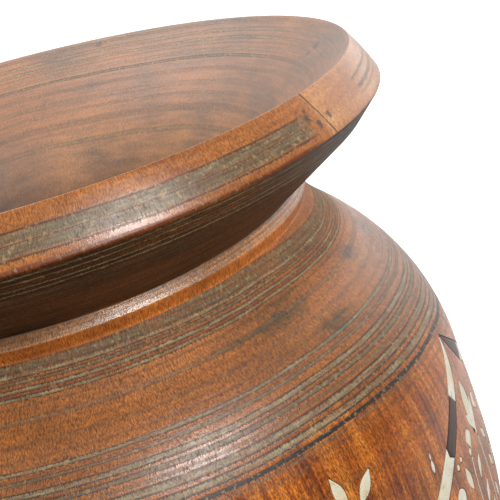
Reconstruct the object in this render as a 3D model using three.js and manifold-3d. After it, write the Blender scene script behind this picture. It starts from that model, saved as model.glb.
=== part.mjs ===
// Ghee pot: a wide-mouthed storage vessel turned from one log and hollowed through its throat,
// with slips of bone and horn let into the wall in a band of pointed arches.
// Millimetres, +Z up. The origin is on the axis, on the plane that the foot rests on.

import * as THREE from 'three';
import { mergeVertices } from 'three/addons/utils/BufferGeometryUtils.js';
import Module from 'manifold-3d';

const wasm = await Module();
wasm.setup();

// Rim and mouth
const height = 270;
const mouthRadius = 115;          // the sharp inner edge, the highest ring of the pot
const lipWidth = 7.8;             // the rim face slopes outwards by this much
const lipDrop = 12.6;             // and down by this much
const undercutWidth = 6.9;        // a steeper turned band just under the rim face
const undercutDrop = 8.1;

// Neck, collar bead and the small step below it
const neckRadius = 89.4;
const neckDrop = 41;              // from the rim down to the root of the flare
const beadWidth = 2.3;
const beadDrop = 3.4;
const stepWidth = 1.2;
const stepDrop = 3.6;

// Shoulder and belly. Slopes are degrees below the horizontal, over 90 where the wall runs inwards.
const coveWidth = 13.1;           // the shoulder leaves the step in a shallow cove
const coveDrop = 16.2;
const coveStartSlope = 66;
const coveEndSlope = 40;
const flankInset = 6.6;           // where the shoulder turns into the nearly upright flank
const flankRise = 57;
const flankSlope = 82.2;
const bellyRadius = 139;
const bellyHeight = 97.7;         // the widest ring, above the table

// Foot
const footRadius = 80;
const footHeight = 8;
const footSlope = 150;
const footChamfer = 1.2;
const footRingWidth = 15;
const recessDepth = 3;            // the underside is turned hollow inside the foot ring

// Inside
const funnelSlope = 142;          // where the funnel leaves the rim
const throatRadius = 70.5;
const throatDrop = 56;            // the narrowest ring, below the rim
const wall = 14;
const floorThickness = 22;
const floorRadius = 50;           // the flat middle of the floor

// Lengths of the control arms that shape the smooth spans of the outline
const arms = {
  cove: 7,
  shoulderTop: 14.4,
  shoulderFoot: 25.7,
  flankTop: 9.8,
  flankFoot: 18.5,
  bellyTop: 44,
  bellyFoot: 34,
  funnelTop: 30,
  funnelFoot: 20,
  throatTop: 12,
  throatFoot: 14,
  hollowTop: 11,
  hollowFoot: 20,
  hollowBelly: 41,
  hollowFloor: 45,
};

// Inlaid band of arches
const archCount = 5;
const archPhase = -30.6;          // azimuth of the first arch tip, degrees
const tipDrop = 97.5;             // arch tips, below the rim
const valleyDrop = 162;           // where neighbouring arches meet, below the rim
const limbSlope = 56;             // degrees, at both ends of a limb
const limbArm = 30;
const slipLengths = [22.3, 18.3, 20.5, 20.5];   // from the arch tip down; a fifth slip takes the rest
const slipWidth = 6.3;
const slipTaper = 20;             // a limb narrows to its tip over this length
const slipTaperPower = 1.5;
const slipTipStart = 1;
const slipPoint = 1.5;            // horn slips end in a shallow point
const inlayThickness = 2.2;
const clearance = 0.3;            // mastic joint round and under every inlaid piece

// Leaf under each arch tip
const leafDrop = 114.7;           // its point, below the rim
const leafLength = 21;
const leafWidth = 8;
const leafShift = -2.5;           // laid by hand, a little to one side of the arch tip
const leafBlunt = 0.04;           // share of its length that each end is cut back
const leafFullness = 0.8;         // under 1 puts the widest place in the upper half

// Facets
const sides = 60;
const steps = {
  cove: 3,
  shoulder: 8,
  flank: 5,
  belly: 7,
  funnel: 6,
  throat: 4,
  hollow: 5,
  slip: 3,
  channel: 18,
  leaf: 5,
};
const cutterOverhang = 2;         // how far a channel cutter stands out of the wall
const leanReach = 3;              // the wall's lean is taken over this height, up and down
const weld = 1e-4;

const radians = THREE.MathUtils.degToRad;

const materials = {
  wood: new THREE.MeshStandardMaterial({ color: 0x9a5a30, roughness: 0.45, metalness: 0 }),
  bone: new THREE.MeshStandardMaterial({ color: 0xe9e2c8, roughness: 0.4, metalness: 0 }),
  horn: new THREE.MeshStandardMaterial({ color: 0x3a322e, roughness: 0.35, metalness: 0 }),
};

// Turned outline of the pot, as radius and height

const rimEdge = new THREE.Vector2(mouthRadius, height);
const lipEdge = new THREE.Vector2(rimEdge.x + lipWidth, rimEdge.y - lipDrop);
const undercutEdge = new THREE.Vector2(lipEdge.x - undercutWidth, lipEdge.y - undercutDrop);
const neckRoot = new THREE.Vector2(neckRadius, height - neckDrop);
const beadEdge = new THREE.Vector2(neckRoot.x + beadWidth, neckRoot.y - beadDrop);
const stepRoot = new THREE.Vector2(beadEdge.x - stepWidth, beadEdge.y - stepDrop);
const coveEnd = new THREE.Vector2(stepRoot.x + coveWidth, stepRoot.y - coveDrop);
const flank = new THREE.Vector2(bellyRadius - flankInset, bellyHeight + flankRise);
const belly = new THREE.Vector2(bellyRadius, bellyHeight);
const footTop = new THREE.Vector2(footRadius, footHeight);
const throat = new THREE.Vector2(throatRadius, height - throatDrop);

function direction(slope) {
  return new THREE.Vector2(Math.cos(radians(slope)), -Math.sin(radians(slope)));
}

// A point moved into the wood, square to an outline that runs at the given slope
function inwards(point, slope, distance) {
  const along = direction(slope);
  return new THREE.Vector2(point.x + along.y * distance, point.y - along.x * distance);
}

// A smooth span between two points of the outline, without its first point
function span(start, startSlope, startArm, end, endSlope, endArm, count) {
  const curve = new THREE.CubicBezierCurve(
    start,
    start.clone().addScaledVector(direction(startSlope), startArm),
    end.clone().addScaledVector(direction(endSlope), -endArm),
    end,
  );
  return curve.getPoints(count).slice(1);
}

const shoulderOutline = [
  stepRoot,
  ...span(stepRoot, coveStartSlope, arms.cove, coveEnd, coveEndSlope, arms.cove, steps.cove),
  ...span(coveEnd, coveEndSlope, arms.shoulderTop, flank, flankSlope, arms.shoulderFoot, steps.shoulder),
  ...span(flank, flankSlope, arms.flankTop, belly, 90, arms.flankFoot, steps.flank),
  ...span(belly, 90, arms.bellyTop, footTop, footSlope, arms.bellyFoot, steps.belly),
];

const outside = [
  rimEdge,
  lipEdge,
  undercutEdge,
  neckRoot,
  beadEdge,
  ...shoulderOutline,
  new THREE.Vector2(footRadius, footChamfer),
  new THREE.Vector2(footRadius - footChamfer, 0),
];

const underside = [
  new THREE.Vector2(0, recessDepth),
  new THREE.Vector2(footRadius - footRingWidth - recessDepth, recessDepth),
  new THREE.Vector2(footRadius - footRingWidth, 0),
];

// The hollow keeps one wall thickness from the shoulder down to the belly
const shoulderInside = inwards(coveEnd, coveEndSlope, wall);
const flankInside = inwards(flank, flankSlope, wall);
const bellyInside = inwards(belly, 90, wall);
const floorEdge = new THREE.Vector2(floorRadius, floorThickness);

const inside = [
  ...span(rimEdge, funnelSlope, arms.funnelTop, throat, 90, arms.funnelFoot, steps.funnel),
  ...span(throat, 90, arms.throatTop, shoulderInside, coveEndSlope, arms.throatFoot, steps.throat),
  ...span(
    shoulderInside, coveEndSlope, arms.hollowTop,
    flankInside, flankSlope, arms.hollowFoot, steps.hollow,
  ),
  bellyInside,
  ...span(bellyInside, 90, arms.hollowBelly, floorEdge, 180, arms.hollowFloor, steps.belly),
  new THREE.Vector2(0, floorThickness),
];

// Solids

function toSolid(geometry) {
  const bare = geometry.clone();
  bare.deleteAttribute('normal');
  bare.deleteAttribute('uv');
  const welded = mergeVertices(bare, weld);
  const index = welded.index.array;
  const corners = [];
  for (let i = 0; i < index.length; i += 3) {
    const [a, b, c] = [index[i], index[i + 1], index[i + 2]];
    if (a !== b && b !== c && c !== a) {
      corners.push(a, b, c);
    }
  }
  return new wasm.Manifold(new wasm.Mesh({
    numProp: 3,
    vertProperties: new Float32Array(welded.attributes.position.array),
    triVerts: new Uint32Array(corners),
  }));
}

function toGeometry(solid) {
  const mesh = solid.getMesh();
  const geometry = new THREE.BufferGeometry();
  geometry.setAttribute('position', new THREE.BufferAttribute(mesh.vertProperties, 3));
  geometry.setIndex(new THREE.BufferAttribute(mesh.triVerts, 1));
  const faceted = geometry.toNonIndexed();
  faceted.computeVertexNormals();
  return faceted;
}

function turn(outline) {
  const geometry = new THREE.LatheGeometry(outline, sides);
  geometry.rotateX(Math.PI / 2);
  return geometry;
}

// Outer radius of the wall at a level below the step
function wallRadius(level) {
  for (let i = 1; i < shoulderOutline.length; i += 1) {
    const [upper, lower] = [shoulderOutline[i - 1], shoulderOutline[i]];
    if (level >= lower.y) {
      return upper.x + (lower.x - upper.x) * (upper.y - level) / (upper.y - lower.y);
    }
  }
  return footRadius;
}

// The pattern is drawn flat, for the wall's radius halfway down the band, and then bent onto the wall
const bandRadius = wallRadius(height - (tipDrop + valleyDrop) / 2);

// A place on the wall: x runs round the pot, y is the level, and rise stands out of the wall
function onWall(x, y, rise, arch) {
  const lean = (wallRadius(y + leanReach) - wallRadius(y - leanReach)) / (2 * leanReach);
  const outwards = new THREE.Vector2(1, -lean).normalize();
  const radius = wallRadius(y) + outwards.x * rise;
  const azimuth = radians(archPhase) + x / bandRadius + 2 * Math.PI * arch / archCount;
  return new THREE.Vector3(radius * Math.cos(azimuth), radius * Math.sin(azimuth), y + outwards.y * rise);
}

// How deep a piece or its pocket lies: both are plates between two rises from the wall's face
const inlayDepth = { floor: -inlayThickness, top: 0 };
const pocketDepth = { floor: -inlayThickness - clearance, top: cutterOverhang };

// A plate that follows a line drawn on the wall. halfWidth gives its half width at a distance along the
// line. Its first end can be notched, and its last end pointed, in the middle.
function strip(line, from, to, halfWidth, depth, count, arch, notch = 0, point = 0) {
  const geometry = new THREE.BoxGeometry(1, 2, 1, count, 2, 1);
  const position = geometry.attributes.position;
  const total = line.getLength();
  for (let i = 0; i < position.count; i += 1) {
    const along = position.getX(i) + 0.5;
    const across = position.getY(i);
    const distance = from + (to - from) * along;
    const end = along === 0 ? notch : along === 1 ? point : 0;
    const share = (distance + end * (1 - Math.abs(across))) / total;
    const place = line.getPointAt(share);
    const tangent = line.getTangentAt(share);
    const offset = across * halfWidth(distance);
    const rise = position.getZ(i) < 0 ? depth.floor : depth.top;
    const spot = onWall(place.x - tangent.y * offset, place.y + tangent.x * offset, rise, arch);
    position.setXYZ(i, spot.x, spot.y, spot.z);
  }
  return geometry;
}

// One limb of an arch, from its tip down to the valley. side is -1 on the left and 1 on the right.
function limbLine(side) {
  const halfPitch = Math.PI * bandRadius / archCount;
  const tip = new THREE.Vector2(0, height - tipDrop);
  const valley = new THREE.Vector2(side * halfPitch, height - valleyDrop);
  const arm = direction(limbSlope).multiply(new THREE.Vector2(side, 1));
  return new THREE.CubicBezierCurve(
    tip,
    tip.clone().addScaledVector(arm, limbArm),
    valley.clone().addScaledVector(arm, -limbArm),
    valley,
  );
}

// A limb keeps its width along the middle and narrows to a point at its tip and its valley
function limbHalfWidth(line, grow) {
  const total = line.getLength();
  return (distance) => {
    const taper = Math.min(1, Math.min(distance, total - distance) / slipTaper);
    return slipWidth / 2 * (1 - (1 - taper) ** slipTaperPower) + grow;
  };
}

function limbChannel(side, arch) {
  const line = limbLine(side);
  const start = slipTipStart - clearance;
  const end = line.getLength() - start;
  return strip(line, start, end, limbHalfWidth(line, clearance), pocketDepth, steps.channel, arch);
}

// The slips of one limb, laid end to end. Bone and horn take turns, so the left limb starts with bone
// and the right limb with horn.
function limbSlips(side, arch) {
  const line = limbLine(side);
  const total = line.getLength();
  const halfWidth = limbHalfWidth(line, 0);
  const joints = [slipTipStart];
  let reached = 0;
  for (const length of slipLengths) {
    reached += length;
    joints.push(reached);
  }
  joints.push(total - slipTipStart);
  const slips = [];
  for (let i = 0; i < joints.length - 1; i += 1) {
    const kind = (i % 2 === 0) === (side < 0) ? 'bone' : 'horn';
    const first = i === 0;
    const last = i === joints.length - 2;
    const from = joints[i] + (first ? 0 : clearance / 2);
    const to = joints[i + 1] - (last ? 0 : clearance / 2);
    const notch = kind === 'bone' && !first ? slipPoint : 0;
    const point = kind === 'horn' && !last ? slipPoint : 0;
    const geometry = strip(line, from, to, halfWidth, inlayDepth, steps.slip, arch, notch, point);
    slips.push({ kind, geometry });
  }
  return slips;
}

// The leaf under an arch tip. grow widens it all round, for its pocket.
function leaf(grow, depth, arch) {
  const length = leafLength + 2 * grow;
  const tip = new THREE.Vector2(leafShift, height - leafDrop + grow);
  const line = new THREE.LineCurve(tip, new THREE.Vector2(tip.x, tip.y - length));
  const halfWidth = (distance) => {
    const share = THREE.MathUtils.clamp((distance - grow) / leafLength, leafBlunt, 1 - leafBlunt);
    return leafWidth / 2 * Math.sin(Math.PI * share ** leafFullness) + grow;
  };
  return strip(line, 0, length, halfWidth, depth, steps.leaf, arch);
}

// Assembly

const group = new THREE.Group();

function add(name, geometry, kind) {
  const mesh = new THREE.Mesh(geometry, materials[kind].clone());
  mesh.name = name;
  group.add(mesh);
}

let body = toSolid(turn([...underside, ...outside.toReversed(), ...inside]));

for (let arch = 0; arch < archCount; arch += 1) {
  for (const side of [-1, 1]) {
    const limb = `arch_${arch + 1}_${side < 0 ? 'left' : 'right'}`;
    body = body.subtract(toSolid(limbChannel(side, arch)));
    limbSlips(side, arch).forEach((slip, i) => {
      add(`${limb}_${slip.kind}_${i + 1}`, slip.geometry, slip.kind);
    });
  }
  body = body.subtract(toSolid(leaf(clearance, pocketDepth, arch)));
  add(`arch_${arch + 1}_leaf`, leaf(0, inlayDepth, arch), 'bone');
}

add('pot_body', toGeometry(body), 'wood');

export default group;
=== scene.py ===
import bpy
import math
from mathutils import Matrix, Vector
from mathutils.geometry import interpolate_bezier


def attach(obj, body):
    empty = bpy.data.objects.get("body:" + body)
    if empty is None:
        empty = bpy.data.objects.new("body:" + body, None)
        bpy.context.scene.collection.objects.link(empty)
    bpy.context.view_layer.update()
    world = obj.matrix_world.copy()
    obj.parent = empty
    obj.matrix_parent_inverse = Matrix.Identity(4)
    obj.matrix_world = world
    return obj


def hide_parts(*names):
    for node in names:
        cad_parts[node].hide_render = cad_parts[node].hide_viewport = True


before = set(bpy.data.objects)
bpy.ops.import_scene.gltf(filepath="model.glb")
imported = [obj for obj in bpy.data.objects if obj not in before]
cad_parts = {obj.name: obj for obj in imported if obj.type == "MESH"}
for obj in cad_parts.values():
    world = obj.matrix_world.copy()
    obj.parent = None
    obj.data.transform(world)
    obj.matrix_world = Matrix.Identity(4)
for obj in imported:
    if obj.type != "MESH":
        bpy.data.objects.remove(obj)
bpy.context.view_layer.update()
scene = bpy.context.scene
bpy.ops.object.select_all(action="DESELECT")
print("frame loaded")


# Turned body. Lengths in metres, slopes in degrees below the horizontal, places as radius and height.
pot = {
    "rim": (0.115, 0.270),
    "lip": (0.1228, 0.2574),
    "undercut": (0.1159, 0.2493),
    "neck": (0.0894, 0.2290),
    "bead": (0.0917, 0.2256),
    "step": (0.0905, 0.2220),
    "cove": (0.1036, 0.2058),
    "flank": (0.1324, 0.1547),
    "belly": (0.139, 0.0977),
    "footTop": (0.080, 0.008),
    "footEdge": (0.080, 0.0012),
    "footChamfer": (0.0788, 0),
    "footRing": (0.065, 0),
    "recess": (0.062, 0.003),
    "recessMiddle": (0, 0.003),
    "throat": (0.0705, 0.214),
    "coveInside": (0.0946, 0.1951),
    "flankInside": (0.1185, 0.1528),
    "bellyInside": (0.125, 0.0977),
    "floorEdge": (0.050, 0.022),
    "floorMiddle": (0, 0.022),
    "rounded": {
        "rim": 0.0005, "lip": 0.0006, "undercut": 0.0008, "neck": 0.0006, "bead": 0.0004, "step": 0.0005,
    },
    "roundSegments": 4,
    "turns": 240,
    "crispOver": 20,
}
weld = 1e-6  # vertices closer than this are one


def place(name):
    return Vector((pot[name][0], 0, pot[name][1]))


def direction(slope):
    return Vector((math.cos(math.radians(slope)), 0, -math.sin(math.radians(slope))))


def span(start, startSlope, startArm, end, endSlope, endArm, count):
    # smooth stretch of the outline, without its first point
    a, b = place(start), place(end)
    leaving, arriving = direction(startSlope) * startArm, direction(endSlope) * endArm
    return interpolate_bezier(a, a + leaving, b - arriving, b, count + 1)[1:]


def straight(start, end, count):
    a, b = place(start), place(end)
    return [a.lerp(b, (i + 1) / count) for i in range(count)]


wallLine = [place("step")]
wallLine += span("step", 66, 0.007, "cove", 40, 0.007, 14)
wallLine += span("cove", 40, 0.0144, "flank", 82.2, 0.0257, 44)
wallLine += span("flank", 82.2, 0.0098, "belly", 90, 0.0185, 26)
wallLine += span("belly", 90, 0.044, "footTop", 150, 0.034, 34)

innerLine = span("rim", 142, 0.030, "throat", 90, 0.020, 30)
innerLine += span("throat", 90, 0.012, "coveInside", 40, 0.014, 12)
innerLine += span("coveInside", 40, 0.011, "flankInside", 82.2, 0.020, 14)
innerLine += straight("flankInside", "bellyInside", 1)
innerLine += span("bellyInside", 90, 0.041, "floorEdge", 180, 0.045, 20)

outline = [place("floorMiddle")] + innerLine[::-1] + [place("rim")]
outline += span("rim", 54, 0.005, "lip", 62.5, 0.005, 10)
outline += straight("lip", "undercut", 6) + straight("undercut", "neck", 18)
outline += straight("neck", "bead", 5) + straight("bead", "step", 3) + wallLine[1:]
outline += [place(name) for name in ("footEdge", "footChamfer", "footRing", "recess", "recessMiddle")]


def pickVertex(piece, spot):
    bpy.ops.object.mode_set(mode="EDIT")
    bpy.ops.mesh.select_all(action="DESELECT")
    bpy.ops.object.mode_set(mode="OBJECT")
    min(piece.data.vertices, key=lambda vertex: (vertex.co - spot).length).select = True
    bpy.ops.object.mode_set(mode="EDIT")


def weldAndFace():
    # welds the piece in hand and faces it outwards
    bpy.ops.object.mode_set(mode="EDIT")
    bpy.ops.mesh.select_all(action="SELECT")
    bpy.ops.mesh.remove_doubles(threshold=weld)
    bpy.ops.mesh.normals_make_consistent(inside=False)
    bpy.ops.object.mode_set(mode="OBJECT")


def turnPot():
    bpy.ops.mesh.primitive_plane_add(size=0.001, location=outline[0])
    body = bpy.context.object
    body.name = "turned_body"
    bpy.ops.object.transform_apply(location=True, rotation=True, scale=True)
    bpy.ops.object.mode_set(mode="EDIT")
    bpy.ops.mesh.select_all(action="SELECT")
    bpy.ops.mesh.merge(type="CENTER")
    for before, after in zip(outline, outline[1:]):
        bpy.ops.mesh.extrude_vertices_move(TRANSFORM_OT_translate={"value": after - before})
    for arris, size in pot["rounded"].items():
        pickVertex(body, place(arris))
        bpy.ops.mesh.bevel(affect="VERTICES", offset=size, segments=pot["roundSegments"])
    bpy.ops.object.mode_set(mode="OBJECT")
    screw = body.modifiers.new("turn", "SCREW")
    screw.angle = 2 * math.pi
    screw.steps = screw.render_steps = pot["turns"]
    screw.use_merge_vertices = True
    screw.merge_threshold = weld
    bpy.ops.object.modifier_apply(modifier="turn")
    weldAndFace()
    bpy.ops.object.shade_smooth_by_angle(angle=math.radians(pot["crispOver"]))
    body.select_set(False)
    return body


body = turnPot()
print("body turned,", len(body.data.polygons), "faces")


# Shader helpers
def addNode(tree, kind, **settings):
    made = tree.nodes.new("ShaderNode" + kind)
    for key, value in settings.items():
        setattr(made, key, value)
    return made


def feed(tree, socket, value):
    # a socket takes a link or a plain value
    if isinstance(value, bpy.types.NodeSocket):
        tree.links.new(value, socket)
    else:
        socket.default_value = value


def calc(tree, operation, *values, clamp=False):
    made = addNode(tree, "Math", operation=operation, use_clamp=clamp)
    for socket, value in zip(made.inputs, values):
        feed(tree, socket, value)
    return made.outputs[0]


def total(tree, *values):
    result = values[0]
    for value in values[1:]:
        result = calc(tree, "ADD", result, value)
    return result


def product(tree, *values):
    result = values[0]
    for value in values[1:]:
        result = calc(tree, "MULTIPLY", result, value)
    return result


def minus(tree, first, second):
    return calc(tree, "SUBTRACT", first, second)


def scaleRange(tree, value, low, high, newLow=0.0, newHigh=1.0):
    made = addNode(tree, "MapRange", clamp=True)
    for socket, given in zip(made.inputs, (value, low, high, newLow, newHigh)):
        feed(tree, socket, given)
    return made.outputs["Result"]


def hypotenuse(tree, a, b):
    return calc(tree, "SQRT", total(tree, product(tree, a, a), product(tree, b, b)))


def objectSpot(tree):
    return addNode(tree, "TexCoord").outputs["Object"]


def separate(tree, spot):
    made = addNode(tree, "SeparateXYZ")
    feed(tree, made.inputs[0], spot)
    return made.outputs


def vector(tree, x, y, z):
    made = addNode(tree, "CombineXYZ")
    for socket, value in zip(made.inputs, (x, y, z)):
        feed(tree, socket, value)
    return made.outputs[0]


def grey(tree, value):
    return vector(tree, value, value, value)


def noise(tree, spot, scale=1.0, detail=2.0, roughness=0.5):
    made = addNode(tree, "TexNoise")
    feed(tree, made.inputs["Vector"], spot)
    for key, value in (("Scale", scale), ("Detail", detail), ("Roughness", roughness)):
        feed(tree, made.inputs[key], value)
    return made.outputs["Fac"]


def drawnOut(tree, around, length, turns, waves, detail, roughness):
    # noise that is drawn out round the pot or up its side
    x, y = (product(tree, value, turns) for value in around)
    return noise(tree, vector(tree, x, y, product(tree, length, waves)), 1.0, detail, roughness)


def blend(tree, amount, first, second, mode="MIX", clamp=True):
    made = addNode(tree, "MixRGB", blend_type=mode, use_clamp=clamp)
    for socket, value in zip(made.inputs, (amount, first, second)):
        feed(tree, socket, value)
    return made.outputs[0]


def tinted(tree, amount, color, tint, clamp=True):
    # a colour multiplied by a tint, as far as a mask says
    return blend(tree, amount, color, blend(tree, 1.0, color, tint, "MULTIPLY", clamp))


def startGroup(name, inputs, outputs):
    group = bpy.data.node_groups.new(name, "ShaderNodeTree")
    for label, kind, value in inputs:
        socket = group.interface.new_socket(label, in_out="INPUT", socket_type="NodeSocket" + kind)
        socket.default_value = value
    for label, kind in outputs:
        group.interface.new_socket(label, in_out="OUTPUT", socket_type="NodeSocket" + kind)
    return group, group.nodes.new("NodeGroupInput").outputs, group.nodes.new("NodeGroupOutput").inputs


def useGroup(tree, group, **values):
    made = addNode(tree, "Group", node_tree=group)
    for key, value in values.items():
        feed(tree, made.inputs[key], value)
    return made.outputs


def startMaterial(name):
    material = bpy.data.materials.new(name)
    material.use_nodes = True
    return material, material.node_tree, material.node_tree.nodes["Principled BSDF"]


def finishMaterial(tree, shader, color, roughness, height, strength, depth):
    feed(tree, shader.inputs["Base Color"], color)
    feed(tree, shader.inputs["Roughness"], roughness)
    bump = addNode(tree, "Bump")
    bump.inputs["Strength"].default_value = strength
    bump.inputs["Distance"].default_value = depth
    feed(tree, bump.inputs["Height"], height)
    feed(tree, shader.inputs["Normal"], bump.outputs["Normal"])


def paint(red, green, blue):
    # 0 to 255, as a colour picker shows it, made linear
    return tuple(((value / 255 + 0.055) / 1.055) ** 2.4 for value in (red, green, blue)) + (1,)


# Place in the log. The pith leans away from the turned axis below the rim, so the rings run out of level.
# Hairs are the finest fibres: their turns round the pot and waves to a metre up its side.
log = {
    "lean": 0.07,
    "leanTowards": 70,
    "top": 0.270,
    "hairs": (420, 740, 2, 0.6),
    "driftScale": 16,
    "drift": 4.0,
    "raggedness": 3.0,
}


def makeLogPlace():
    # slant is the height that a surface gains for each metre outwards, so its fibres run straight up it
    inputs = {"lean": 0.0, "wander": 0.0008, "slant": -1.0, "ticks": 0.0006}
    outputs = ("ring", "aroundX", "aroundY", "along", "level", "turn", "hairs")
    group, given, made = startGroup(
        "log place",
        [(label, "Float", value) for label, value in inputs.items()],
        [(label, "Float") for label in outputs],
    )
    spot = objectSpot(group)
    x, y, z = separate(group, spot)
    below = product(group, minus(group, log["top"], z), given["lean"])
    towards = math.radians(log["leanTowards"])
    acrossX = minus(group, x, product(group, below, math.cos(towards)))
    acrossY = minus(group, y, product(group, below, math.sin(towards)))
    radius = calc(group, "MAXIMUM", hypotenuse(group, x, y), 0.001)
    around = calc(group, "DIVIDE", x, radius), calc(group, "DIVIDE", y, radius)
    along = total(group, z, product(group, given["slant"], radius))
    hairs = drawnOut(group, around, along, *log["hairs"])
    cloud = noise(group, spot, log["driftScale"], detail=2)
    drift = product(group, minus(group, cloud, 0.5), given["wander"], log["drift"])
    ragged = product(group, minus(group, hairs, 0.5), given["ticks"], log["raggedness"])
    ring = total(group, hypotenuse(group, acrossX, acrossY), drift, ragged)
    turn = calc(group, "DIVIDE", calc(group, "ARCTAN2", y, x), math.radians(1))
    for label, value in zip(outputs, (ring, *around, along, z, turn, hairs)):
        feed(group, made[label], value)
    return group


logPlace = makeLogPlace()


# Turned and waxed wood. A noise is the coordinate that it follows, its turns round the pot, its waves to
# a metre along that coordinate, its detail and its roughness. Pairs are where a mask starts and is full,
# and two more numbers are its values there.
grain = {
    "noises": {
        "bands": ("ring", 2.2, 110, 2, 0.5),  # soft bands round the pot
        "lines": ("ring", 6.0, 900, 3, 0.6),  # thin growth lines
        "threads": ("ring", 11, 2900, 3, 0.65),  # threads inside a stripe
        "rubbed": ("ring", 7.0, 420, 4, 0.65),  # where a stripe is worn thin
        "gleams": ("ring", 90, 1500, 2, 0.5),  # pale flashes in a stripe
        "patches": ("along", 3.5, 30, 3, 0.5),  # large mottling
        "mottle": ("along", 40, 260, 4, 0.7),  # small mottling
        "flames": ("along", 26, 11, 3, 0.6),  # upright figure
        "rays": ("along", 110, 24, 3, 0.6),  # fine upright figure
        "flecks": ("along", 250, 560, 1, 0.5),  # open pores
    },
    "mixing": {"bands": 0.26, "lines": 0.30, "patches": 0.30, "mottle": 0.14},
    "figure": {"flames": 0.55, "rays": 0.45},
    "mixingRange": (0.40, 0.60),
    "hairRange": (0.38, 0.62),
    "flank": (0.122, 0.131),
    "paleFigure": (0.50, 0.36),
    "darkFigure": (0.50, 0.62),
    "pores": (0.60, 0.68),
    "threadTone": (0.36, 0.64, 0.45, 1.6),
    "tickTone": (0.65, 1.35),
    "gleams": (0.58, 0.68),
    "wear": (0.34, 0.50, 0.55, 1.0),
    "split": (0.40, 0.52, 0.25, 1.0),
    "paleStripes": (0.02, 0.06),
    "mottleGloss": (0.3, 0.7, -0.04, 0.08),
    "paleFigureColor": paint(226, 140, 52),
    "darkFigureColor": paint(96, 40, 12),
    "fibreDark": (0.38, 0.33, 0.30, 1),
    "fibreLight": (1.62, 1.68, 1.60, 1),
    "gleamColor": paint(190, 170, 118),
    "poreColor": paint(58, 30, 18),
    "stripeGloss": 0.12,
    "poreGloss": 0.3,
    "hairHeight": 0.7,
    "lineHeight": 0.4,
    "poreHeight": -0.8,
    "stripeHeight": -0.5,
}


def makeTurnedWood():
    inputs = {
        ("Float", 0.0): (
            "ring", "aroundX", "aroundY", "along", "hairs", "stripeStrength", "fibre", "pores", "flame",
            "gloss", "broken",
        ),
        ("Color", (1, 1, 1, 1)): ("light", "dark", "stripe", "neckTint", "flankTint"),
    }
    group, given, made = startGroup(
        "turned wood",
        [(label, *kind) for kind, labels in inputs.items() for label in labels],
        [("color", "Color"), ("roughness", "Float"), ("height", "Float")],
    )
    around = given["aroundX"], given["aroundY"]
    noises = {
        name: drawnOut(group, around, given[coordinate], *settings)
        for name, (coordinate, *settings) in grain["noises"].items()
    }

    def mixed(shares):
        return total(group, *[product(group, noises[name], share) for name, share in shares.items()])

    mixing = scaleRange(group, mixed(grain["mixing"]), *grain["mixingRange"])
    base = blend(group, mixing, given["dark"], given["light"])
    figure = mixed(grain["figure"])
    low = scaleRange(group, given["ring"], *grain["flank"])
    tint = blend(group, low, given["neckTint"], given["flankTint"], clamp=False)
    base = blend(group, 1.0, base, tint, "MULTIPLY")
    upright = product(group, given["flame"], low)
    for kind in ("paleFigure", "darkFigure"):
        mask = product(group, scaleRange(group, figure, *grain[kind]), upright)
        base = blend(group, mask, base, grain[kind + "Color"])
    fibreMask = scaleRange(group, given["hairs"], *grain["hairRange"])
    fibres = blend(group, fibreMask, grain["fibreDark"], grain["fibreLight"], clamp=False)
    base = blend(group, given["fibre"], base, fibres, "MULTIPLY")

    # a stripe is made of threads, and is worn through in places
    thread = scaleRange(group, noises["threads"], *grain["threadTone"])
    tick = scaleRange(group, given["hairs"], *grain["hairRange"], *grain["tickTone"])
    stripe = blend(group, 1.0, given["stripe"], grey(group, product(group, thread, tick)), "MULTIPLY")
    gleam = product(group, scaleRange(group, noises["gleams"], *grain["gleams"]), 0.5)
    stripe = blend(group, gleam, stripe, grain["gleamColor"])
    wear = scaleRange(group, noises["rubbed"], *grain["wear"])
    split = scaleRange(group, noises["threads"], *grain["split"])
    paleness = scaleRange(group, given["stripe"], *grain["paleStripes"])
    worn = minus(group, 1.0, product(group, split, wear))
    kept = minus(group, 1.0, product(group, given["broken"], paleness, worn))
    stripeMask = calc(group, "MULTIPLY", given["stripeStrength"], kept, clamp=True)
    color = blend(group, stripeMask, base, stripe)
    poreMask = product(group, scaleRange(group, noises["flecks"], *grain["pores"]), given["pores"])
    feed(group, made["color"], blend(group, poreMask, color, grain["poreColor"]))
    feed(group, made["roughness"], total(
        group, given["gloss"],
        product(group, stripeMask, grain["stripeGloss"]),
        product(group, poreMask, grain["poreGloss"]),
        scaleRange(group, noises["mottle"], *grain["mottleGloss"]),
    ))
    feed(group, made["height"], total(
        group, product(group, given["hairs"], grain["hairHeight"]),
        product(group, noises["lines"], grain["lineHeight"]),
        product(group, poreMask, grain["poreHeight"]),
        product(group, stripeMask, noises["threads"], grain["stripeHeight"]),
    ))
    return group


turnedWood = makeTurnedWood()

olive, pale, dull, black = paint(108, 92, 66), paint(134, 118, 88), paint(80, 61, 44), paint(38, 29, 23)
russet = paint(112, 48, 20)

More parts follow.
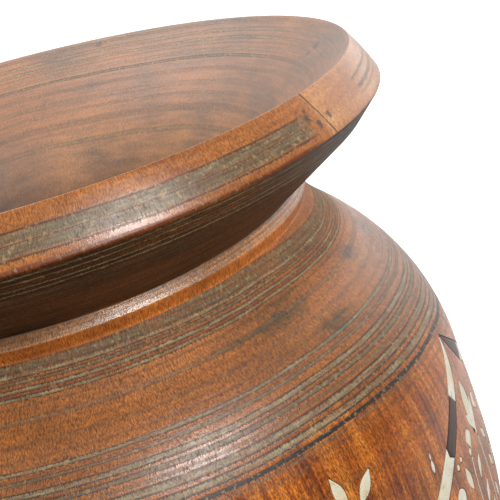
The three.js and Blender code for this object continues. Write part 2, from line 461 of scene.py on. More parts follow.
# Finish of each turned surface, where it differs from the common one. A stripe is a growth ring: radius
# and half width in millimetres, strength, the colour of its middle and of its edges. A fade gives a
# strength at azimuths in degrees.
commonWood = {
    "lean": 0.0, "ticks": 0.0003, "slant": 0, "flame": 0.0, "relief": 0.6, "broken": 0.4, "pores": 0.4,
    "stripes": [], "fade": [(-180, 1), (180, 1)],
}
woods = {
    "funnel wood": {
        "wander": 0.0006, "ticks": 0.0002, "slant": 1, "flame": 0.1, "broken": 0.5, "pores": 0.2,
        "gloss": 0.40, "shine": 1.0, "fibre": 0.35,
        # these greyish base colours are partly painted reflection of the pale studio and partly the
        # wood's own tone
        "light": paint(180, 120, 78), "dark": paint(120, 87, 66),
        "stripes": [
            (78.4, 0.7, 0.5, olive, dull), (83.8, 1.2, 0.45, dull, dull), (88.0, 0.6, 0.5, olive, dull),
            (91.5, 1.0, 0.4, olive, dull), (96.0, 0.9, 0.4, dull, dull),
            (100.4, 0.6, 1.0, olive, black), (102.7, 0.6, 0.6, pale, dull),
            (104.9, 0.3, 0.6, olive, dull), (106.8, 0.7, 0.8, pale, dull),
            (109.8, 0.9, 0.7, pale, dull), (113.0, 0.7, 0.7, olive, dull),
        ],
        "fade": [(-180, 1), (-60, 0.3), (-5, 0.35), (25, 0.9), (180, 1)],
    },
    "rim wood": {
        "wander": 0.0004, "ticks": 0.0002, "slant": -1, "relief": 0.3, "broken": 0.3, "pores": 0.3,
        "gloss": 0.23, "shine": 0.42, "fibre": 0.6,
        "light": paint(196, 121, 54), "dark": paint(140, 78, 34),
        "stripes": [
            (118.2, 0.2, 0.8, black, dull), (119.0, 0.7, 1.0, olive, olive),
            (119.75, 0.16, 1.0, black, black), (120.5, 0.7, 1.0, olive, olive),
            (121.4, 0.16, 0.8, black, dull), (122.55, 0.3, 0.9, russet, russet),
        ],
        "fade": [(-180, 1), (-54, 1), (-51.5, 0), (60, 0), (95, 0.9), (180, 1)],
        "farStripes": [
            (118.3, 0.22, 0.9, olive, dull), (119.9, 0.32, 0.9, olive, dull),
            (120.9, 0.12, 0.6, dull, dull),
        ],
        "farFade": [(-180, 0), (-38, 0), (-35.5, 1), (30, 0.8), (75, 0), (180, 0)],
    },
    # the underside's dark base colours are partly painted shade under the lip and partly the wood's own
    # darker tone and lines
    "underside wood": {
        "wander": 0.0003, "ticks": 0.0001, "slant": 1, "pores": 0.2,
        "gloss": 0.45, "shine": 0.2, "fibre": 0.8,
        "light": paint(134, 80, 38), "dark": paint(48, 27, 12),
        "stripes": [
            (93.0, 1.2, 0.5, dull, black), (97.0, 0.3, 0.7, olive, black),
            (99.5, 0.8, 0.5, dull, black), (102.2, 0.3, 0.8, olive, black),
            (104.0, 0.4, 0.8, olive, black), (107.0, 0.5, 0.7, dull, black),
            (109.0, 0.3, 0.8, olive, black), (110.4, 0.35, 0.8, pale, black),
            (112.4, 0.5, 0.8, olive, black), (113.8, 0.35, 0.9, pale, black),
            (115.0, 0.35, 1.0, pale, black), (116.8, 0.4, 1.0, pale, black),
            (118.1, 0.4, 1.0, pale, black), (119.9, 0.4, 1.0, pale, black),
            (121.5, 0.45, 1.0, pale, black),
        ],
    },
    # the bead's pale base colours are partly painted light, lifted to make up for the lip's shade and
    # whitened towards its sheen, and partly its own paler wood
    "bead wood": {
        "wander": 0.0003, "slant": -1, "gloss": 0.20, "shine": 0.75, "fibre": 0.8,
        "light": paint(222, 144, 74), "dark": paint(160, 106, 60),
        "stripes": [
            (89.5, 0.5, 0.8, olive, dull), (90.6, 0.2, 0.6, dull, dull), (91.3, 0.2, 0.5, olive, dull),
        ],
    },
    "step wood": {
        "wander": 0.0003, "gloss": 0.40, "shine": 0.3, "fibre": 0.7,
        "light": paint(216, 124, 52), "dark": paint(154, 84, 36),
    },
    "wall wood": {
        "lean": 1.0, "wander": 0.0006, "slant": -1, "flame": 0.8, "broken": 0.7,
        "gloss": 0.24, "shine": 0.5, "fibre": 0.85,
        "light": paint(203, 115, 43), "dark": paint(148, 81, 34),
        "neckTint": (0.76, 0.86, 1.04, 1), "flankTint": (1.06, 0.94, 0.50, 1),
        "stripes": [
            (93.7, 0.8, 0.9, olive, dull), (94.9, 0.8, 1.0, olive, dull), (96.0, 0.5, 1.0, pale, black),
            (97.1, 0.4, 0.9, olive, black), (98.5, 0.5, 1.0, pale, black),
            (99.2, 0.2, 0.5, russet, russet), (99.9, 0.5, 1.0, pale, black),
            (101.5, 0.3, 0.5, dull, dull), (104.4, 0.7, 0.6, olive, dull),
            (107.0, 0.2, 0.3, russet, russet), (109.5, 0.6, 0.4, dull, dull),
            (112.6, 0.3, 0.5, russet, dull), (115.0, 0.55, 1.0, pale, black),
            (116.0, 0.2, 0.5, russet, russet), (116.8, 0.45, 0.9, olive, black),
            (119.3, 0.75, 1.0, pale, black), (121.1, 0.6, 1.0, olive, black),
            (122.6, 0.3, 0.8, olive, dull), (124.2, 0.9, 1.0, pale, black),
            (126.4, 0.8, 1.0, pale, black), (128.1, 0.4, 1.0, black, black),
            (129.0, 0.3, 0.6, olive, dull), (130.2, 0.25, 0.4, dull, dull),
            (134.5, 0.5, 0.25, dull, dull), (139.0, 0.7, 0.3, dull, dull),
        ],
    },
    "hollow wood": {
        "lean": 1.0, "wander": 0.0012, "ticks": 0.0005, "flame": 0.2, "broken": 0.5,
        "gloss": 0.55, "shine": 0.3, "fibre": 0.6,
        "light": paint(138, 82, 46), "dark": paint(84, 48, 28),
        "stripes": [
            (72.0, 0.8, 0.5, olive, dull), (84.0, 0.9, 0.5, olive, dull), (97.0, 0.8, 0.5, olive, dull),
            (110.0, 0.9, 0.5, olive, dull), (118.0, 0.8, 0.5, dull, dull),
        ],
    },
}
reliefDepth = 0.00012


def fillRamp(ramp, stops):
    # stops are (position, colour with strength), in rising order
    elements = ramp.color_ramp.elements
    elements[0].position, elements[0].color = stops[0]
    elements[1].position, elements[1].color = stops[-1]
    for position, color in stops[1:-1]:
        elements.new(position).color = color


def ringRamps(tree, ring, stripes):
    # a ramp holds 32 stops, so a long list of stripes is laid over several, three to a ramp
    color, strength = olive, 0.0
    for first in range(0, len(stripes), 3):
        some = stripes[first:first + 3]
        low, high = some[0][0] - some[0][1] - 1, some[-1][0] + some[-1][1] + 1
        stops = [(0, (*some[0][4][:3], 0))]
        for radius, halfWidth, power, middle, edge in some:
            for offset, tint, share in (
                (-1, edge, 0), (-0.84, edge, 0.9), (-0.62, edge, 0.9), (-0.44, middle, 1),
                (0.44, middle, 1), (0.62, edge, 0.9), (0.84, edge, 0.9), (1, edge, 0),
            ):
                position = (radius + offset * halfWidth - low) / (high - low)
                stops.append((max(position, stops[-1][0] + 0.0005), (*tint[:3], share * power)))
        stops.append((1, (*some[-1][4][:3], 0)))
        ramp = addNode(tree, "ValToRGB")
        feed(tree, ramp.inputs[0], scaleRange(tree, ring, low / 1000, high / 1000))
        fillRamp(ramp, stops)
        inside = scaleRange(tree, ramp.outputs["Alpha"], 0.0, 0.02)
        color = blend(tree, inside, color, ramp.outputs["Color"])
        strength = calc(tree, "MAXIMUM", strength, ramp.outputs["Alpha"])
    return color, strength


def fadeRound(tree, turn, fade):
    ramp = addNode(tree, "ValToRGB")
    feed(tree, ramp.inputs[0], scaleRange(tree, turn, -180, 180))
    fillRamp(ramp, [((azimuth + 180) / 360, (power, power, power, 1)) for azimuth, power in fade])
    return ramp.outputs["Color"]


# Small natural faults, in millimetres and degrees, with some painted light and shade in the mouth. A
# fleck is azimuth, radius, height and half
# length. A smudge lies along the rings: azimuth, ring radius, half width in degrees, half depth and
# strength.
faults = {
    "checkTop": (-50.3, 115),
    "checkFoot": (-48.8, 122.8),
    "checkHalfWidth": 0.09,
    "checkWobble": 0.10,
    "checkDullness": 0.4,
    "checkDepth": -3.0,
    "checkColor": paint(46, 26, 16),
    "fleckRaggedness": 4,
    "fleckColor": paint(64, 50, 40),
    "flecks": {
        "rim wood": [
            (-52.3, 118.9, 263.7, 1.2), (-50.9, 120.3, 261.4, 1.1), (-48.0, 119.8, 262.2, 1.1),
            (-52.0, 117.6, 265.8, 0.7),
        ],
        "funnel wood": [(-4, 107, 264.4, 1.8), (-3, 104, 262.2, 1.3), (66, 112, 267.8, 1.4)],
    },
    "smudges": [
        (-57.0, 105.4, 7.0, 2.6, 1.0), (-49.1, 113.0, 4.5, 2.6, 0.9), (-67.0, 104.6, 6.0, 1.0, 0.7),
        (-15.0, 106.6, 3.0, 3.0, 0.5), (-55.0, 101.8, 8.0, 1.6, 0.6), (-60.0, 112.0, 10.0, 2.2, 0.35),
        (-30.7, 104.9, 3.6, 2.3, 0.9), (40.0, 118.0, 6.0, 1.8, 0.5), (95.0, 106.0, 7.0, 2.2, 0.5),
        (150.0, 123.0, 8.0, 2.0, 0.5), (-150.0, 112.0, 6.0, 2.0, 0.5), (-105.0, 121.0, 5.0, 1.6, 0.3),
    ],
    "smudgeTint": (0.38, 0.54, 0.64, 1),
    "flames": [(-66.0, 131.5, 4.0, 4.0, 0.35), (-55.0, 134.5, 3.0, 4.0, 0.3)],
    "flameTint": (0.50, 0.32, 0.20, 1),
    "paleRim": [(-180, 0), (-50.6, 0), (-49.6, 0.6), (-30, 0.3), (10, 0.1), (60, 0), (180, 0)],
    "paleRimLight": paint(232, 178, 124),
    "paleRimDark": paint(196, 124, 76),
    "mouthDepth": (0.250, 0.230),
    "mouthDullness": 0.25,
    # painted reflection of the backdrop: the depth of the mouth paler and bluer round this side
    "mouthReflectionSide": [(-180, 0), (-30, 0), (10, 1), (75, 0.9), (95, 0), (180, 0)],
    "mouthReflectionTint": (1.25, 1.50, 1.75, 1),
    # painted shade: the depth of the mouth darker and greyer round this side
    "mouthShadeSide": [(-180, 0.3), (-60, 0), (78, 0), (92, 0.6), (140, 0.6), (180, 0.3)],
    "mouthShadeTint": (0.62, 0.74, 0.86, 1),
    "grooveHeights": (0.203, 0.211),
    "grooveDullness": 0.36,
}


def addFlecks(tree, color, flecks):
    spot = objectSpot(tree)
    cloud = noise(tree, spot, 800, detail=3, roughness=0.7)
    ragged = product(tree, minus(tree, cloud, 0.5), faults["fleckRaggedness"] / 1000)
    for azimuth, radius, height, size in flecks:
        a = math.radians(azimuth)
        away = addNode(tree, "VectorMath", operation="DISTANCE")
        feed(tree, away.inputs[0], spot)
        away.inputs[1].default_value = Vector((radius * math.cos(a), radius * math.sin(a), height)) / 1000
        near = total(tree, away.outputs["Value"], ragged)
        mask = scaleRange(tree, near, size * 0.0007, size * 0.0013, 0.8, 0.0)
        color = blend(tree, mask, color, faults["fleckColor"])
    return color


def addSmudges(tree, color, where, smudges, tint):
    spot = objectSpot(tree)
    ragged = scaleRange(tree, noise(tree, spot, 330, detail=4, roughness=0.7), 0.3, 0.7, -0.5, 0.5)
    for azimuth, radius, halfWidth, halfDepth, power in smudges:
        aside = calc(tree, "DIVIDE", minus(tree, where["turn"], azimuth), halfWidth)
        inwards = minus(tree, where["ring"], radius / 1000)
        under = calc(tree, "DIVIDE", inwards, halfDepth / 1000)
        away = total(tree, hypotenuse(tree, aside, under), ragged)
        mask = scaleRange(tree, away, 0.3, 1.3, power, 0.0)
        color = tinted(tree, mask, color, tint)
    return color


def addCheck(tree, color, roughness, height, where):
    top, foot, halfWidth = faults["checkTop"], faults["checkFoot"], faults["checkHalfWidth"]
    slope = (foot[0] - top[0]) / (foot[1] - top[1]) * 1000
    spot = objectSpot(tree)
    line = total(tree, top[0], product(tree, minus(tree, where["ring"], top[1] / 1000), slope))
    sway = faults["checkWobble"]
    wobble = scaleRange(tree, noise(tree, spot, 300, detail=2), 0.3, 0.7, -sway, sway)
    aside = minus(tree, minus(tree, where["turn"], line), wobble)
    mask = scaleRange(tree, calc(tree, "ABSOLUTE", aside), halfWidth * 0.5, halfWidth * 1.6, 1.0, 0.0)
    color = blend(tree, mask, color, faults["checkColor"])
    roughness = total(tree, roughness, product(tree, mask, faults["checkDullness"]))
    return color, roughness, total(tree, height, product(tree, mask, faults["checkDepth"]))


def paintMouthLightAndShade(tree, color, roughness, where):
    # the depth of the mouth gets a painted reflection, paler and bluer, on one side, painted shade,
    # darker and greyer, on the other, and is duller
    deep = scaleRange(tree, where["level"], *faults["mouthDepth"])
    for fade, tint in (("mouthReflectionSide", "mouthReflectionTint"), ("mouthShadeSide", "mouthShadeTint")):
        mask = product(tree, deep, fadeRound(tree, where["turn"], faults[fade]))
        color = tinted(tree, mask, color, faults[tint])
    return color, total(tree, roughness, product(tree, deep, faults["mouthDullness"]))


def makeWood(name):
    look = {**commonWood, **woods[name]}
    material, tree, shader = startMaterial(name)
    ways = {key: look[key] for key in ("wander", "slant", "ticks")}
    where = useGroup(tree, logPlace, lean=look["lean"] * log["lean"], **ways)
    color, strength = ringRamps(tree, where["ring"], look["stripes"])
    strength = product(tree, strength, fadeRound(tree, where["turn"], look["fade"]))
    if "farStripes" in look:
        farColor, farStrength = ringRamps(tree, where["ring"], look["farStripes"])
        farFade = fadeRound(tree, where["turn"], look["farFade"])
        color = blend(tree, scaleRange(tree, farFade, 0.0, 0.05), color, farColor)
        strength = calc(tree, "MAXIMUM", strength, product(tree, farStrength, farFade))
    light, dark = look["light"], look["dark"]
    if name == "rim wood":
        fade = fadeRound(tree, where["turn"], faults["paleRim"])
        light = blend(tree, fade, light, faults["paleRimLight"])
        dark = blend(tree, fade, dark, faults["paleRimDark"])
    places = {key: where[key] for key in ("ring", "aroundX", "aroundY", "along", "hairs")}
    shares = ("fibre", "pores", "flame", "gloss", "broken", "neckTint", "flankTint")
    settings = {key: look[key] for key in shares if key in look}
    colors = {"light": light, "dark": dark, "stripe": color}
    wood = useGroup(tree, turnedWood, stripeStrength=strength, **colors, **places, **settings)
    color, roughness, height = wood["color"], wood["roughness"], wood["height"]
    if name in faults["flecks"]:
        color = addFlecks(tree, color, faults["flecks"][name])
    if name == "wall wood":
        color = addSmudges(tree, color, where, faults["smudges"], faults["smudgeTint"])
        color = addSmudges(tree, color, where, faults["flames"], faults["flameTint"])
        # the groove under the neck was never polished
        groove = scaleRange(tree, where["level"], *faults["grooveHeights"])
        roughness = total(tree, roughness, product(tree, groove, faults["grooveDullness"]))
    if name == "funnel wood":
        color, roughness = paintMouthLightAndShade(tree, color, roughness, where)
    if name == "rim wood":
        color, roughness, height = addCheck(tree, color, roughness, height, where)
    shader.inputs["Specular IOR Level"].default_value = look["shine"]
    finishMaterial(tree, shader, color, roughness, height, look["relief"], reliefDepth)
    return material


woodNames = list(woods)
for name in woods:
    body.data.materials.append(makeWood(name))


funnelFoot = 0.208  # the funnel's finish ends just under the throat
stepOverlap = 0.0004


def woodAt(spot, normal):
    # which finish a turned surface has, from where it lies and how it faces
    radius = math.hypot(spot.x, spot.y)
    outwards = (normal.x * spot.x + normal.y * spot.y) / max(radius, 1e-6)
    facesIn = outwards < -0.05
    onFloor = radius < 0.1 and spot.z < 0.1 and normal.z > 0.5
    if spot.z > 0.01 and (facesIn or onFloor):
        return "funnel wood" if spot.z > funnelFoot else "hollow wood"
    if spot.z > pot["lip"][1]:
        return "rim wood"
    if spot.z > pot["neck"][1]:
        return "underside wood"
    if spot.z > pot["bead"][1]:
        return "bead wood"
    return "step wood" if spot.z > pot["step"][1] - stepOverlap else "wall wood"


for face in body.data.polygons:
    face.material_index = woodNames.index(woodAt(face.center, face.normal))
print("wood finishes laid on")


# Inlay: slips and leaves of bone and horn let into the wall. Lengths in metres; x runs round the pot from
# an arch's tip, and z is the depth below the rim.
inlay = {
    "arches": 5,
    "firstTip": -30.6,
    "tip": 0.0975,
    "valley": 0.162,
    "limbSlope": 56,
    "limbArm": 0.030,
    "slips": (0.0223, 0.0183, 0.0205, 0.0205),
    "width": 0.0063,
    "taper": 0.020,
    "taperPower": 1.5,
    "endGap": 0.001,
    "point": 0.0015,
    "thickness": 0.0022,
    "leaf": (-0.0025, 0.1147, 0.021, 0.008),
    "leafBlunt": 0.04,
    "leafFullness": 0.8,
    "joint": 0.0003,
    "petalJoint": 0.00018,
    "stemJoint": 0.00012,
    "cutterRise": 0.002,  # how far a pocket's cutter stands out of the wall
    "leanReach": 0.003,  # the wall's lean is taken over this height, up and down
    "edge": 0.00012,
    "edgeSegments": 2,
    "edgeOver": 50,
    "crispOver": 35,
    "limbPoints": 120,
    "columns": 4,
    "rows": {"slip": 16, "channel": 90, "leaf": 20, "petal": 10, "disc": 16, "stem": 16},
}
joint = inlay["joint"]


def wallRadius(level):
    for upper, lower in zip(wallLine, wallLine[1:]):
        if level >= lower.z:
            return upper.x + (lower.x - upper.x) * (upper.z - level) / (upper.z - lower.z)
    return pot["footTop"][0]


rimLevel = pot["rim"][1]
bandRadius = wallRadius(rimLevel - (inlay["tip"] + inlay["valley"]) / 2)
halfPitch = math.pi * bandRadius / inlay["arches"]


def onWall(x, depth, rise=0.0):
    # a place on the first arch's stretch of wall; rise stands out of the wood
    level, reach = rimLevel - depth, inlay["leanReach"]
    lean = (wallRadius(level + reach) - wallRadius(level - reach)) / (2 * reach)
    out = Vector((1, -lean)).normalized()
    azimuth = math.radians(inlay["firstTip"]) + x / bandRadius
    radius = wallRadius(level) + out.x * rise
    return Vector((radius * math.cos(azimuth), radius * math.sin(azimuth), level + out.y * rise))


class wallPath:
    # a line drawn on the wall, measured along its length
    def __init__(self, points):
        self.points = [Vector(point) for point in points]
        self.reached = [0.0]
        for before, after in zip(self.points, self.points[1:]):
            self.reached.append(self.reached[-1] + (after - before).length)
        self.length = self.reached[-1]

    def at(self, distance):
        last = len(self.points) - 2
        i = max(0, min(last, sum(1 for reached in self.reached[1:] if reached < distance)))
        step = self.points[i + 1] - self.points[i]
        share = (distance - self.reached[i]) / step.length
        return self.points[i] + step * share, step.normalized()


def limbPath(side):
    tip, valley = Vector((0, inlay["tip"], 0)), Vector((side * halfPitch, inlay["valley"], 0))
    slope = math.radians(inlay["limbSlope"])
    arm = Vector((side * math.cos(slope), math.sin(slope), 0)) * inlay["limbArm"]
    curve = interpolate_bezier(tip, tip + arm, valley - arm, valley, inlay["limbPoints"])
    return wallPath([point.to_2d() for point in curve])


def layStrip(name, path, start, end, halfWidth, kind, notch=0.0, point=0.0, rise=0.0, sink=0.0):
    # a plate that follows a path on the wall, from a grid laid flat and bent on
    rows, columns = inlay["rows"][kind], inlay["columns"]
    bpy.ops.mesh.primitive_grid_add(x_subdivisions=rows, y_subdivisions=columns, size=1, calc_uvs=True)
    piece = bpy.context.object
    piece.name = name
    flat = []
    for vertex in piece.data.vertices:
        along, across = vertex.co.x + 0.5, vertex.co.y * 2
        distance = start + (end - start) * along
        if along < 1e-4:
            distance += notch * (1 - abs(across))
        if along > 1 - 1e-4:
            distance += point * (1 - abs(across))
        middle, heading = path.at(distance)
        offset = across * halfWidth(start + (end - start) * along)
        flat.append((distance, offset))
        vertex.co = onWall(middle.x + heading.y * offset, middle.y - heading.x * offset, rise)
    uv = piece.data.uv_layers.active.data
    for loop in piece.data.loops:
        uv[loop.index].uv = flat[loop.vertex_index]
    solid = piece.modifiers.new("thickness", "SOLIDIFY")
    solid.thickness = rise + inlay["thickness"] + sink
    solid.offset = -1
    weldAndFace()
    spot, normal = piece.data.polygons[0].center, piece.data.polygons[0].normal
    if normal.x * spot.x + normal.y * spot.y < 0:
        piece.data.flip_normals()
    bpy.ops.object.modifier_apply(modifier="thickness")
    piece.select_set(False)
    return piece


def easeEdges(piece, material):
    # a finished piece has a fine scraped edge
    piece.data.materials.append(material)
    bpy.context.view_layer.objects.active = piece
    piece.select_set(True)
    edge = piece.modifiers.new("edge", "BEVEL")
    edge.width = inlay["edge"]
    edge.segments = inlay["edgeSegments"]
    edge.limit_method = "ANGLE"
    edge.angle_limit = math.radians(inlay["edgeOver"])
    bpy.ops.object.modifier_apply(modifier="edge")
    bpy.ops.object.shade_smooth_by_angle(angle=math.radians(inlay["crispOver"]))
    piece.select_set(False)


# Bone, horn and the dark mastic that holds them. Grain is waves to a metre along a piece and across it,
# and waves are those of its other marks. A mark is its colour, where it starts and is full, and its
# strength. Relief is the strength and depth of the small bumps.
boneLook = {
    "grain": (120, 2200, 1), "gloss": 0.26, "relief": (0.3, 0.0002),
    "waves": {"clouds": 90, "pits": 2600, "stains": 230},
    "light": paint(250, 245, 230), "dark": paint(236, 224, 190),
    "streak": (paint(204, 188, 140), 0.48, 0.72, 0.6),
    "stain": (paint(190, 158, 92), 0.56, 0.68, 0.6),
    "pit": (paint(120, 90, 56), 0.64, 0.72, 0.6),
}
hornLook = {
    "grain": (60, 1500, 1), "gloss": 0.34, "shine": 0.3, "relief": (0.25, 0.0002),
    "dark": paint(46, 30, 22), "light": paint(84, 58, 42), "cloud": (paint(56, 36, 32), 0.45, 0.7, 0.5),
}
masticLook = {
    "gloss": 0.7, "relief": (0.5, 0.0003), "dark": paint(30, 21, 16), "light": paint(66, 48, 34),
}


def grainStreaks(tree, grain, detail, roughness):
    stretch = addNode(tree, "Mapping")
    feed(tree, stretch.inputs["Vector"], addNode(tree, "TexCoord").outputs["UV"])
    stretch.inputs["Scale"].default_value = grain
    return noise(tree, stretch.outputs[0], 1.0, detail, roughness)


def marked(tree, color, value, tint, low, high, power):
    return blend(tree, scaleRange(tree, value, low, high, 0.0, power), color, tint)


def makeBone():
    look = boneLook
    material, tree, shader = startMaterial("bone")
    spot = objectSpot(tree)
    streaks = grainStreaks(tree, look["grain"], 3, 0.6)
    clouds = noise(tree, spot, look["waves"]["clouds"], detail=2)
    pits = noise(tree, spot, look["waves"]["pits"], detail=1)
    stains = noise(tree, spot, look["waves"]["stains"], detail=4, roughness=0.7)
    color = blend(tree, scaleRange(tree, clouds, 0.35, 0.65), look["light"], look["dark"])
    color = marked(tree, color, streaks, *look["streak"])
    color = marked(tree, color, stains, *look["stain"])
    color = marked(tree, color, pits, *look["pit"])
    streakGloss = scaleRange(tree, streaks, 0.4, 0.7, 0.0, 0.12)
    pitGloss = scaleRange(tree, pits, 0.66, 0.74, 0.0, 0.3)
    roughness = total(tree, look["gloss"], streakGloss, pitGloss)
    pitDepth = scaleRange(tree, pits, *look["pit"][1:3], 0.0, -0.8)
    height = total(tree, product(tree, streaks, 0.5), pitDepth)
    finishMaterial(tree, shader, color, roughness, height, *look["relief"])
    return material


def makeHorn():
    look = hornLook
    material, tree, shader = startMaterial("horn")
    streaks = grainStreaks(tree, look["grain"], 4, 0.65)
    clouds = noise(tree, objectSpot(tree), 120, detail=2)
    color = blend(tree, scaleRange(tree, streaks, 0.35, 0.7), look["dark"], look["light"])
    color = marked(tree, color, clouds, *look["cloud"])
    roughness = total(tree, look["gloss"], scaleRange(tree, streaks, 0.4, 0.7, 0.0, 0.14))
    shader.inputs["Specular IOR Level"].default_value = look["shine"]
    finishMaterial(tree, shader, color, roughness, streaks, *look["relief"])
    return material


def makeMastic():
    look = masticLook
    material, tree, shader = startMaterial("mastic")
    lumps = noise(tree, objectSpot(tree), 700, detail=3)
    color = blend(tree, scaleRange(tree, lumps, 0.35, 0.65), look["dark"], look["light"])
    finishMaterial(tree, shader, color, look["gloss"], lumps, *look["relief"])
    return material


bone, horn, mastic = makeBone(), makeHorn(), makeMastic()
limbs = {"left": limbPath(-1), "right": limbPath(1)}
cutters = []


def layCutter(name, path, start, end, halfWidth, kind):
    # what is cut out of the wall, a joint wider and deeper than what lies in it
    cutters.append(layStrip(
        name, path, start - joint, end + joint, halfWidth, kind, rise=inlay["cutterRise"], sink=joint,
    ))


def letIn(kind, path, start, end, halfWidth, gap):
    # a piece of bone and its pocket, wider by the gap
    def grown(distance):
        return halfWidth(distance, gap)

    piece = layStrip(kind, path, start, end, halfWidth, kind)
    easeEdges(piece, bone)
    layCutter(kind + "_pocket", path, start, end, grown, kind)
    return piece


def limbHalfWidth(path, grow):
    def halfWidth(distance):
        taper = max(0.0, min(1.0, min(distance, path.length - distance) / inlay["taper"]))
        return inlay["width"] / 2 * (1 - (1 - taper) ** inlay["taperPower"]) + grow
    return halfWidth


def layLimb(side):
    # slips of bone and horn by turns, in one channel
    path = limbs[side]
    joints = [inlay["endGap"]]
    joints += [sum(inlay["slips"][:i + 1]) for i in range(len(inlay["slips"]))]
    joints.append(path.length - inlay["endGap"])
    slips = []
    for i, (before, after) in enumerate(zip(joints, joints[1:])):
        isBone = (i % 2 == 0) == (side == "left")
        kind = "bone" if isBone else "horn"
        first, last = i == 0, i == len(joints) - 2
        slip = layStrip(
            "slip_%s_%s_%d" % (side, kind, i + 1), path,
            before + (0 if first else joint / 2), after - (0 if last else joint / 2),
            limbHalfWidth(path, 0), "slip",
            notch=inlay["point"] if isBone and not first else 0,
            point=inlay["point"] if not isBone and not last else 0,
        )
        easeEdges(slip, bone if isBone else horn)
        slips.append((slip, "%s_%s_%d" % (side, kind, i + 1), kind))
    layCutter(side + "_channel", path, joints[0], joints[-1], limbHalfWidth(path, joint), "channel")
    return slips


def blunted(share, blunt):
    # ends are cut blunt, so that a piece has some width there
    return min(1 - blunt, max(blunt, share))


def layLeaf():
    x, depth, length, width = inlay["leaf"]
    spare = 0.01  # the path runs on past both ends
    path = wallPath([(x, depth - spare), (x, depth + length + spare)])

    def halfWidth(distance, grow=0):
        share = blunted((distance - spare - grow) / length, inlay["leafBlunt"])
        return width / 2 * math.sin(math.pi * share ** inlay["leafFullness"]) + grow

    return letIn("leaf", path, spare, spare + length, halfWidth, joint)


# Small pieces are drawn by their ends: start and end as x and depth in millimetres from the arch's tip,
# width, fullness below 1 to put the widest place near the start, and a bow to one side. A stem has no
# fullness, and a disc is x, depth and radius.
plant = {
    "axis": -2.5,
    "petals": [
        (1.2, 133.2, 6.2, 124.4, 3.4, 1.3, 0.6),
        (6.6, 138.6, 11.6, 145.2, 3.0, 1.0, 0.3),
        (6.2, 149.4, 10.8, 156.4, 3.2, 1.0, 0.3),
        (3.4, 158.4, 6.2, 167.0, 3.0, 1.0, 0.2),
        (22.4, 133.2, 20.8, 142.6, 3.9, 1.0, 0.2),
        (11.9, 133.6, 11.0, 126.6, 6.4, 1.7, 0.0),
        (14.4, 134.4, 13.6, 131.9, 2.4, 1.4, 0.0),
        (16.8, 151.6, 20.4, 158.6, 3.2, 1.0, -0.3),
        (16.2, 151.6, 12.8, 158.2, 3.0, 1.0, 0.3),
    ],
    "discs": [(31.1, 138.6, 3.2), (23.4, 129.3, 0.9), (26.9, 129.9, 1.0), (0.0, 171.5, 1.6)],
    "stems": [(0.0, 136.6, 0.0, 169.0, 0.75, 0.0), (14.0, 135.0, 16.4, 150.8, 0.75, 0.8)],
    "petalBlunt": 0.03,
    "discBlunt": 0.015,
    "pathPoints": 14,
}
flower = {
    "axis": -84.6,
    "heart": (3.0, 112.6, 2.2),
    "petals": 6,
    "turn": -12,  # degrees from upright
    "reach": (4.6, 14.8),  # from the heart to a petal's two ends
    "petalWidth": 3.9,
    "sprays": [
        (40.9, 117.0, 40.7, 121.6, 1.7, 1.0, 0.0),
        (41.2, 114.6, 40.9, 117.2, 0.8, 1.0, 0.0),
        (6.0, 136.0, 12.5, 130.6, 3.2, 1.0, 0.4),
    ],
    "stem": (3.0, 128.6, 3.0, 148.0, 0.75, 0.0),
}


def drawn(x0, z0, x1, z1, bow):
    # a line between two places, bowed to one side
    count = plant["pathPoints"]
    a, b = Vector((x0, z0)) / 1000, Vector((x1, z1)) / 1000
    aside = Vector((b.y - a.y, a.x - b.x)).normalized() * bow / 1000
    shares = [i / count for i in range(count + 1)]
    return wallPath([a.lerp(b, share) + aside * math.sin(math.pi * share) for share in shares])


def petal(axis, side, x0, z0, x1, z1, width, fullness, bow):
    path = drawn(axis + side * x0, z0, axis + side * x1, z1, side * bow)

    def halfWidth(distance, grow=0):
        share = blunted(distance / path.length, plant["petalBlunt"])
        return width / 2000 * math.sin(math.pi * share ** fullness) + grow

    return letIn("petal", path, 0, path.length, halfWidth, inlay["petalJoint"])


def disc(axis, side, x, z, radius):
    x = axis + side * x
    path = drawn(x, z - radius, x, z + radius, 0)

    def halfWidth(distance, grow=0):
        share = blunted(distance / path.length, plant["discBlunt"])
        return radius / 1000 * math.sqrt(1 - (2 * share - 1) ** 2) + grow

    return letIn("disc", path, 0, path.length, halfWidth, joint)


def stem(axis, side, x0, z0, x1, z1, width, bow):
    path = drawn(axis + side * x0, z0, axis + side * x1, z1, side * bow)

    def halfWidth(distance, grow=0):
        return width / 2000 + grow

    return letIn("stem", path, 0, path.length, halfWidth, inlay["stemJoint"])


def layPlant():
    # what lies on the axis is laid once, and the rest on both sides of it
    pieces = []
    for side in (-1, 1):
        for make, kind in ((petal, "petals"), (disc, "discs"), (stem, "stems")):
            for numbers in plant[kind]:
                if numbers[0] > 0 or side > 0:
                    pieces.append(make(plant["axis"], side, *numbers))
    return pieces


def layFlower():
    axis, (x, z, radius) = flower["axis"], flower["heart"]
    near, far = flower["reach"]
    pieces = [disc(axis, 1, x, z, radius)]
    for i in range(flower["petals"]):
        a = math.radians(flower["turn"] + 360 * i / flower["petals"])
        heading = Vector((math.sin(a), -math.cos(a)))
        start, end = Vector((x, z)) + heading * near, Vector((x, z)) + heading * far
        pieces.append(petal(axis, 1, *start, *end, flower["petalWidth"], 1.0, 0))
    for spray in flower["sprays"]:
        pieces += [petal(axis, side, *spray) for side in (1, -1)]
    pieces.append(stem(axis, 1, *flower["stem"]))
    return pieces


def joinPieces(name, pieces):
    for piece in pieces:
        piece.select_set(True)
    bpy.context.view_layer.objects.active = pieces[0]
    bpy.ops.object.join()
    pieces[0].name = name
    pieces[0].select_set(False)
    return pieces[0]


